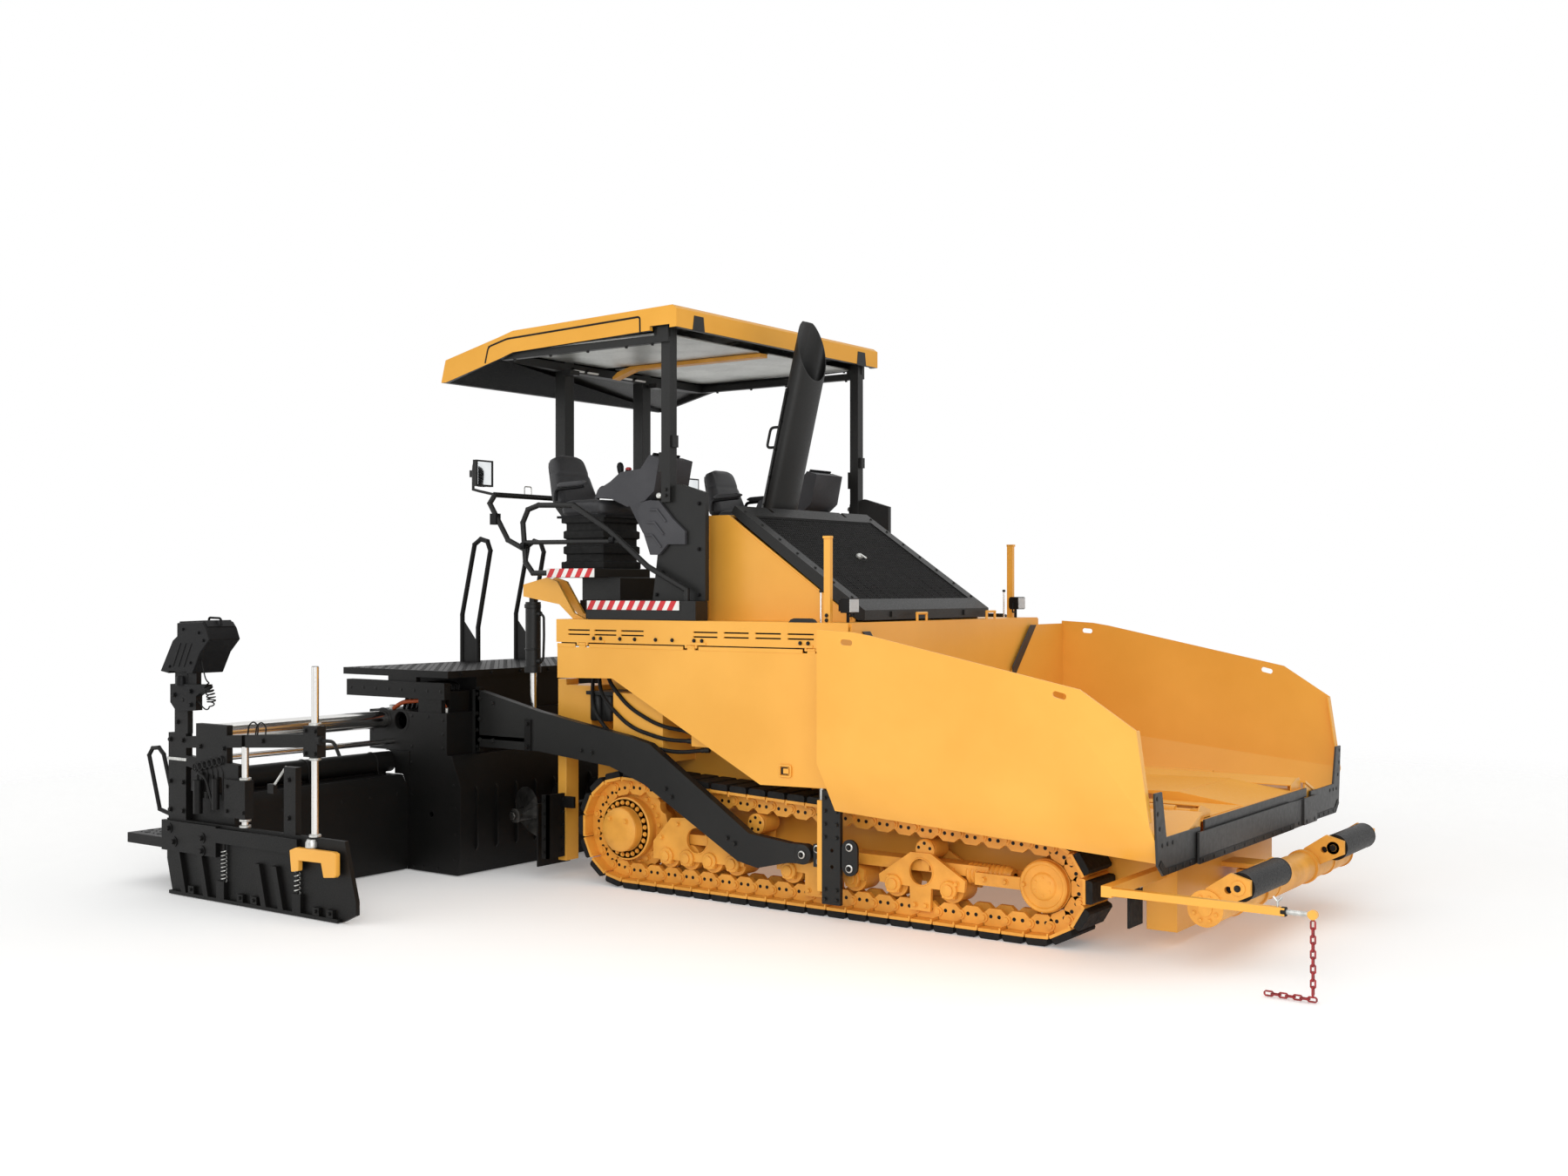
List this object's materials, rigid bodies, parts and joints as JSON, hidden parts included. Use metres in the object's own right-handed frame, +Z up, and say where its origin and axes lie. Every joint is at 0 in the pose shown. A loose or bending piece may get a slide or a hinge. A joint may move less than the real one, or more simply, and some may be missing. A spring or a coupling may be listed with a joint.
{
  "type": "asphalt paver",
  "caption": "Tracked asphalt paver with a folding front hopper, push rollers, a canopied operator platform, spreading augers and a wide extending screed.",
  "frame": {"origin": "on the ground, at the middle of the overall box", "axes": "+X forward to the hopper, +Y to the left side, +Z up"},
  "size_m": [7.84, 6.12, 3.914],
  "materials": {
    "paint_yellow": "semi-gloss coat",
    "paint_black": "satin powder coat",
    "grey_plastic": "moulded, fine grain",
    "chrome": "ground and plated",
    "rubber_black": "matte",
    "wear_steel": "worn",
    "liner_grey": "matte",
    "engine_iron": "cast",
    "track_steel": "worn shoes with rubber pads",
    "paint_red": "worn coat",
    "seat_cloth": "woven cloth"
  },
  "bodies": {
    "tractor": {"chassis": "paint_yellow", "deck": "paint_yellow", "engine_block": "engine_iron", "track_right": "track_steel", "track_left": "track_steel", "track_frames": "paint_yellow", "track_rollers": "paint_yellow", "sprockets": "paint_yellow", "hopper_floor": "paint_yellow", "conveyor_slats": "wear_steel", "front_apron": "rubber_black", "guide_rod": "paint_yellow", "guide_chain": "paint_red", "tow_guides": "paint_black", "auger_mount": "paint_black", "engine_housing": "paint_yellow", "exhaust_stack": "paint_black", "operator_floor": "paint_black", "canopy_posts": "paint_black", "canopy_roof": "paint_yellow", "canopy_liner": "liner_grey", "seat_right": "seat_cloth", "seat_left": "seat_cloth", "seat_bases": "rubber_black", "consoles": "grey_plastic", "guard_rails": "paint_black", "work_lamps": "paint_black"},
    "wing_right": {"wing_right": "paint_yellow", "wing_flap_right": "rubber_black"},
    "wing_left": {"wing_left": "paint_yellow", "wing_flap_left": "rubber_black"},
    "hood": {"engine_hood": "paint_black"},
    "door_right": {"side_door_right": "paint_yellow"},
    "door_left": {"side_door_left": "paint_yellow"},
    "push_beam": {"push_beam": "paint_yellow"},
    "roller_right": {"push_roller_right": "wear_steel"},
    "roller_left": {"push_roller_left": "wear_steel"},
    "auger_right": {"auger_right": "wear_steel"},
    "auger_left": {"auger_left": "wear_steel"},
    "screed": {"tow_arms": "paint_black", "screed_body": "paint_black", "screed_walkway": "paint_black"},
    "extender_right": {"extender_right": "paint_black", "extender_tubes_right": "chrome", "end_gate_right": "paint_black", "gate_jacks_right": "chrome", "screed_console_right": "grey_plastic"},
    "extender_left": {"extender_left": "paint_black", "extender_tubes_left": "chrome", "end_gate_left": "paint_black", "gate_jacks_left": "chrome", "screed_console_left": "grey_plastic"},
    "lift_barrels": {"lift_barrels": "paint_black"},
    "lift_rods": {"lift_rods": "chrome"}
  },
  "joints": [
    {"name": "wing_right_fold", "type": "hinge", "parent": "tractor", "child": "wing_right", "pos_m": [2, -0.86, 0.8], "axis": [-1, 0, 0], "range_deg": [0, 60]},
    {"name": "wing_left_fold", "type": "hinge", "parent": "tractor", "child": "wing_left", "pos_m": [2, 0.86, 0.8], "axis": [1, 0, 0], "range_deg": [0, 60]},
    {"name": "hood_open", "type": "hinge", "parent": "tractor", "child": "hood", "pos_m": [-0.095, -0.145, 2.552], "axis": [0, -1, 0], "range_deg": [0, 45]},
    {"name": "door_right_open", "type": "hinge", "parent": "tractor", "child": "door_right", "pos_m": [-0.2, -1.268, 1.66], "axis": [-1, 0, 0], "range_deg": [0, 85]},
    {"name": "door_left_open", "type": "hinge", "parent": "tractor", "child": "door_left", "pos_m": [-0.2, 1.268, 1.66], "axis": [1, 0, 0], "range_deg": [0, 85]},
    {"name": "push_beam_swing", "type": "hinge", "parent": "tractor", "child": "push_beam", "pos_m": [3.06, 0, 0.33], "axis": [0, 0, 1], "range_deg": [-6, 6]},
    {"name": "roller_right_spin", "type": "hinge", "parent": "push_beam", "child": "roller_right", "pos_m": [3.385, -0.825, 0.455], "axis": [0, 1, 0], "continuous": true},
    {"name": "roller_left_spin", "type": "hinge", "parent": "push_beam", "child": "roller_left", "pos_m": [3.385, 0.825, 0.455], "axis": [0, 1, 0], "continuous": true},
    {"name": "auger_right_spin", "type": "hinge", "parent": "tractor", "child": "auger_right", "pos_m": [-1.835, -0.65, 0.43], "axis": [0, 1, 0], "continuous": true},
    {"name": "auger_left_spin", "type": "hinge", "parent": "tractor", "child": "auger_left", "pos_m": [-1.835, 0.65, 0.43], "axis": [0, 1, 0], "continuous": true},
    {"name": "screed_lift", "type": "hinge", "parent": "tractor", "child": "screed", "pos_m": [0.65, 0, 0.389], "axis": [0, 1, 0], "range_deg": [0, 8]},
    {"name": "extender_right_slide", "type": "slide", "parent": "screed", "child": "extender_right", "axis": [0, 1, 0], "range_m": [0, 1.475]},
    {"name": "extender_left_slide", "type": "slide", "parent": "screed", "child": "extender_left", "axis": [0, -1, 0], "range_m": [0, 1.475]},
    {"name": "lift_barrel_swing", "type": "hinge", "parent": "tractor", "child": "lift_barrels", "pos_m": [-1.849, 0, 2.027], "axis": [0, -1, 0], "range_deg": [0, 10]},
    {"name": "lift_rod_slide", "type": "slide", "parent": "lift_barrels", "child": "lift_rods", "axis": [0, 0, 1], "range_m": [0, 0.36]}
  ],
  "couplings": [
    {"joint": "lift_barrel_swing", "follows": "screed_lift", "ratio": 1.1335},
    {"joint": "lift_rod_slide", "follows": "screed_lift", "m_per_rad": 2.3862}
  ]
}
